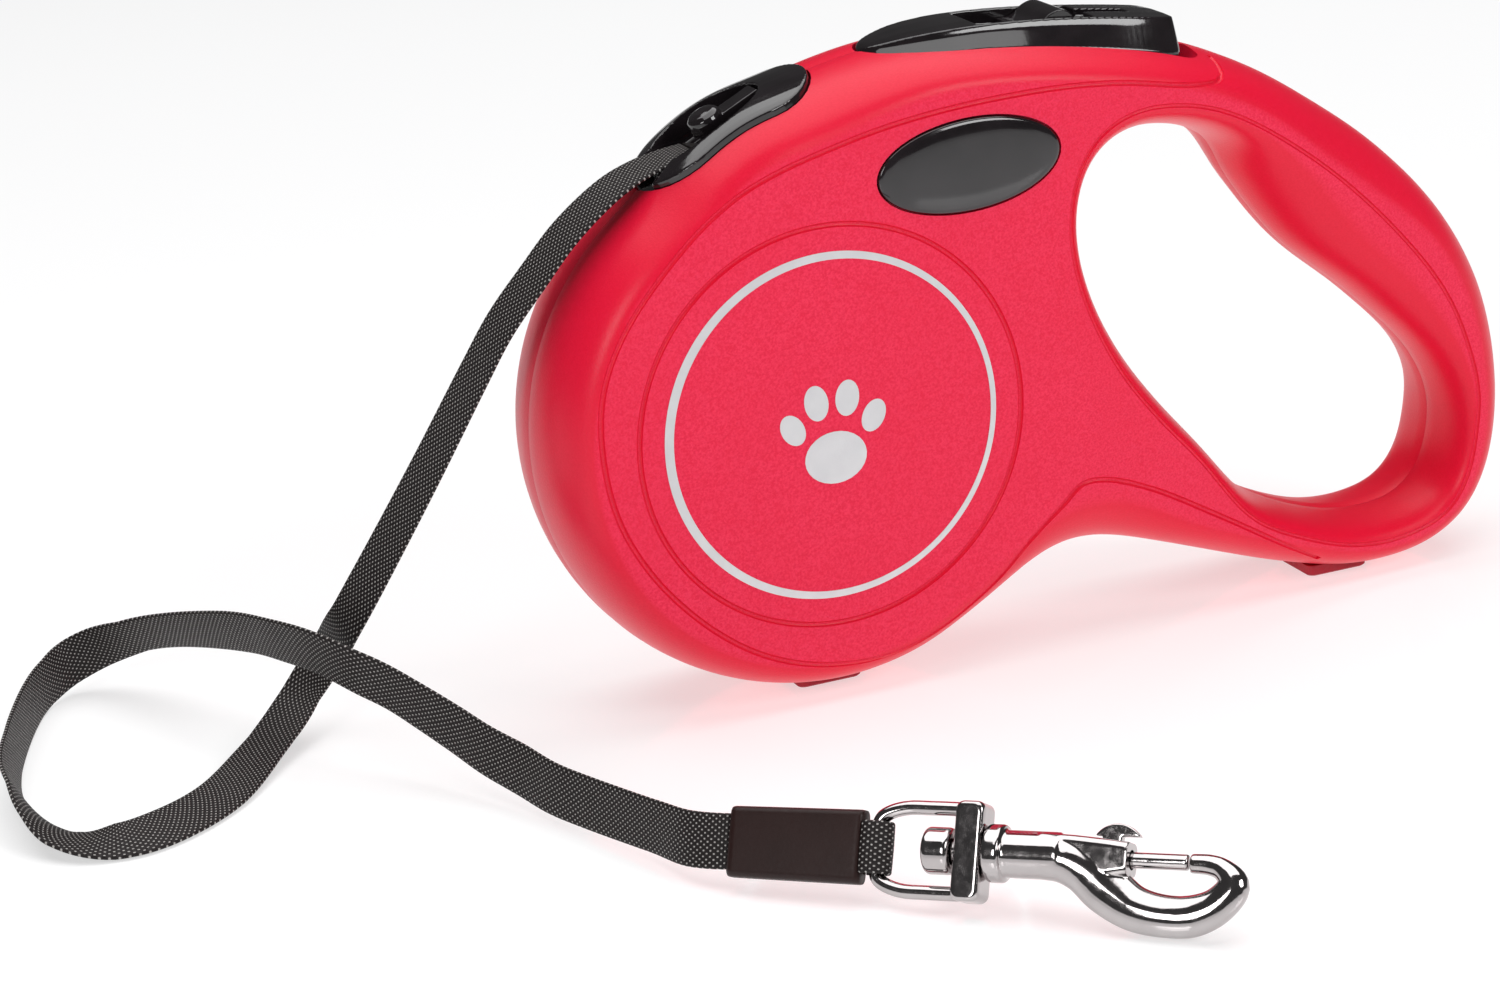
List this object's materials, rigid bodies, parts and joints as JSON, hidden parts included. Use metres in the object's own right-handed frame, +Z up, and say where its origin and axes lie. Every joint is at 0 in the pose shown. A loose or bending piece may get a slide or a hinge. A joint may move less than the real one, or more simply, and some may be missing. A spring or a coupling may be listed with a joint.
{
  "type": "retractable leash",
  "caption": "Retractable tape leash: round reel housing with a hand grip hole, brake button with lock slider, flat tape and a swivel bolt-snap hook.",
  "frame": {"origin": "centre of the leash's footprint without the free tape and its fittings, on the surface that its two feet stand on", "axes": "+X from the tape outlet towards the grip, +Z up, +Y across the housing towards its rear side face"},
  "size_m": [0.2548, 0.1891, 0.1023],
  "materials": {
    "coral_plastic": "fine-grained, with smoother rounded rims",
    "black_gloss": "gloss black",
    "red_rubber": "matt",
    "spring_steel": "plain steel",
    "nylon": "satin",
    "webbing": "coarse black webbing with light flecks",
    "brown_sleeve": "satin dark brown",
    "chrome": "polished"
  },
  "bodies": {
    "housing": {"front_shell": "coral_plastic", "rear_shell": "coral_plastic", "tape_nose": "black_gloss", "guide_stud": "black_gloss", "front_badge": "black_gloss", "rear_badge": "black_gloss", "button_pin": "spring_steel", "button_spring": "spring_steel", "drum_foot": "red_rubber", "grip_foot": "red_rubber", "case_screw_1": "spring_steel", "case_screw_2": "spring_steel", "case_screw_3": "spring_steel", "case_screw_4": "spring_steel", "axle": "spring_steel", "power_spring": "spring_steel", "pawl_pin": "spring_steel", "tape_feed": "webbing", "tape_free": "webbing", "tape_sleeve": "brown_sleeve", "tape_end": "webbing"},
    "reel": {"spool": "nylon", "wound_tape": "webbing", "spring_cover": "nylon"},
    "button": {"brake_button": "black_gloss"},
    "pawl": {"brake_pawl": "nylon"},
    "slider": {"lock_slider": "black_gloss"},
    "ring": {"swivel_ring": "chrome"},
    "hook": {"hook_body": "chrome", "bolt_spring": "spring_steel"},
    "bolt": {"hook_bolt": "chrome"}
  },
  "joints": [
    {"name": "reel_spin", "type": "hinge", "parent": "housing", "child": "reel", "pos_m": [-0.0395, 0, 0.0455], "axis": [0, 1, 0], "continuous": true},
    {"name": "button_press", "type": "hinge", "parent": "housing", "child": "button", "pos_m": [-0.02, 0, 0.0953], "axis": [0, 1, 0], "range_deg": [0, 3.5], "stiffness_Nm_per_rad": 2, "springref_deg": -2.86, "deforming": ["button_spring"]},
    {"name": "pawl_turn", "type": "hinge", "parent": "housing", "child": "pawl", "pos_m": [-0.0183, 0, 0.0824], "axis": [0, 1, 0], "range_deg": [0, 7]},
    {"name": "lock_slide", "type": "slide", "parent": "button", "child": "slider", "axis": [-0.9959, 0, 0.0906], "range_m": [0, 0.004]},
    {"name": "ring_tilt", "type": "hinge", "parent": "housing", "child": "ring", "pos_m": [-0.06662, -0.08841, 0.00772], "axis": [0.3223, 0.3848, 0.8649], "range_deg": [-40, 40]},
    {"name": "hook_swivel", "type": "hinge", "parent": "ring", "child": "hook", "pos_m": [-0.0542, -0.10057, 0.0085], "axis": [0.7138, -0.6989, 0.0449], "continuous": true},
    {"name": "bolt_slide", "type": "slide", "parent": "hook", "child": "bolt", "axis": [-0.7138, 0.6989, -0.0449], "range_m": [0, 0.005], "stiffness_N_per_m": 300, "springref_m": -0.004, "deforming": ["bolt_spring"]}
  ],
  "couplings": [
    {"joint": "pawl_turn", "follows": "button_press", "ratio": 2}
  ]
}
